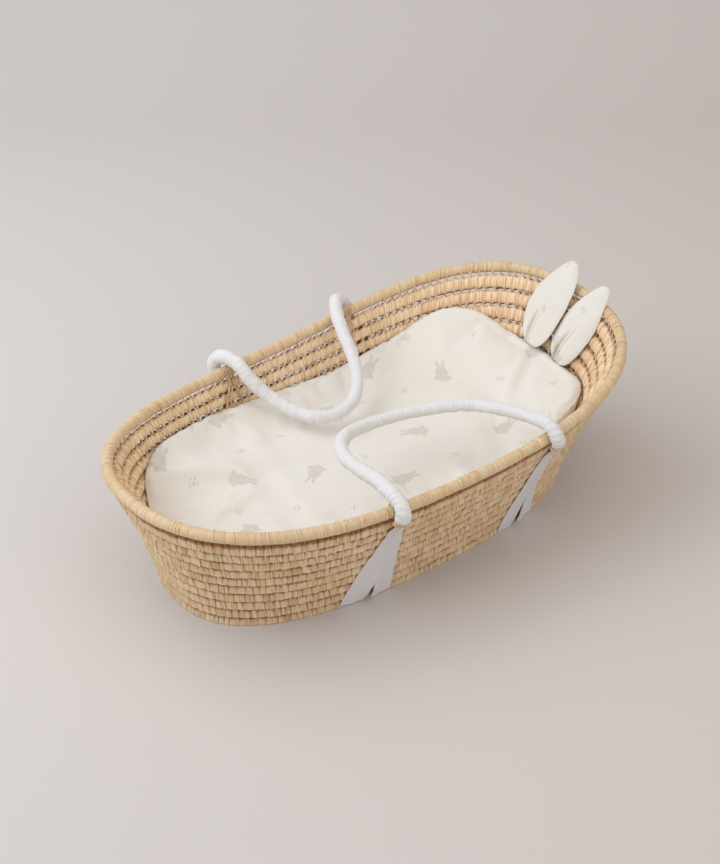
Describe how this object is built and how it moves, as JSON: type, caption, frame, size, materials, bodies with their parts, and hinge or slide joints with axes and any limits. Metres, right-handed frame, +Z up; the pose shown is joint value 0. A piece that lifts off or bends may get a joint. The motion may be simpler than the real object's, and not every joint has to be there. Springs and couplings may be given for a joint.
{
  "type": "moses basket with mattress",
  "caption": "Oval palm-braid Moses basket with flared wall, wrapped rim, two padded white rope handles that swing, a fitted mattress in a printed cover and two stuffed fabric ears.",
  "frame": {"origin": "middle of the overall box, on the floor plane under the basket", "axes": "+X along the basket towards the head end with the ears, +Y to the rear side, +Z up"},
  "size_m": [0.828, 0.52, 0.2976],
  "materials": {
    "palm_braid": "woven dried palm leaf, matt with a soft sheen, straw coloured with darker gaps",
    "palm_rim": "dried palm strips wrapped round the rim, light straw, a few orange-brown strips",
    "raffia_twine": "twisted raffia twine",
    "cotton_rope": "twisted cotton rope filling, hidden by the sleeve",
    "white_cotton": "plain woven white cotton, matt",
    "printed_cotton": "cream woven cotton with a sparse sage and pink print, matt",
    "foam": "soft foam filling, hidden by the cover"
  },
  "bodies": {
    "basket": {"coiled_base": "palm_braid", "wall_turn_01": "palm_braid", "wall_turn_02": "palm_braid", "wall_turn_03": "palm_braid", "wall_turn_04": "palm_braid", "wall_turn_05": "palm_braid", "wall_turn_06": "palm_braid", "wall_turn_07": "palm_braid", "wall_turn_08": "palm_braid", "wall_turn_09": "palm_braid", "wall_turn_10": "palm_braid", "rim_roll": "palm_rim", "left_under_strap": "white_cotton", "right_under_strap": "white_cotton", "front_left_handle_neck": "white_cotton", "front_right_handle_neck": "white_cotton", "rear_left_handle_neck": "white_cotton", "rear_right_handle_neck": "white_cotton", "front_left_tie": "raffia_twine", "front_right_tie": "raffia_twine", "rear_left_tie": "raffia_twine", "rear_right_tie": "raffia_twine", "front_left_lashing": "raffia_twine", "front_right_lashing": "raffia_twine", "rear_left_lashing": "raffia_twine", "rear_right_lashing": "raffia_twine", "mattress": "foam", "mattress_cover": "printed_cotton"},
    "rear_handle": {"rear_handle_sleeve": "white_cotton", "rear_handle_rope": "cotton_rope"},
    "front_handle": {"front_handle_sleeve": "white_cotton", "front_handle_rope": "cotton_rope"},
    "rear_ear": {"rear_ear": "printed_cotton"},
    "front_ear": {"front_ear": "printed_cotton"}
  },
  "joints": [
    {"name": "rear_handle_swing", "type": "hinge", "parent": "basket", "child": "rear_handle", "pos_m": [-0.11114, 0.22534, 0.21], "axis": [-0.9968, -0.0532, -0.0598], "range_deg": [0, 170]},
    {"name": "front_handle_swing", "type": "hinge", "parent": "basket", "child": "front_handle", "pos_m": [-0.12415, -0.22266, 0.209], "axis": [0.9977, -0.0378, 0.0567], "range_deg": [0, 170]},
    {"name": "rear_ear_fold", "type": "hinge", "parent": "basket", "child": "rear_ear", "pos_m": [0.35285, 0.04234, 0.166], "axis": [-0.1854, -0.9678, -0.1704], "range_deg": [0, 105]},
    {"name": "front_ear_fold", "type": "hinge", "parent": "basket", "child": "front_ear", "pos_m": [0.35285, -0.02166, 0.162], "axis": [-0.1854, -0.9678, -0.1704], "range_deg": [0, 105]}
  ]
}
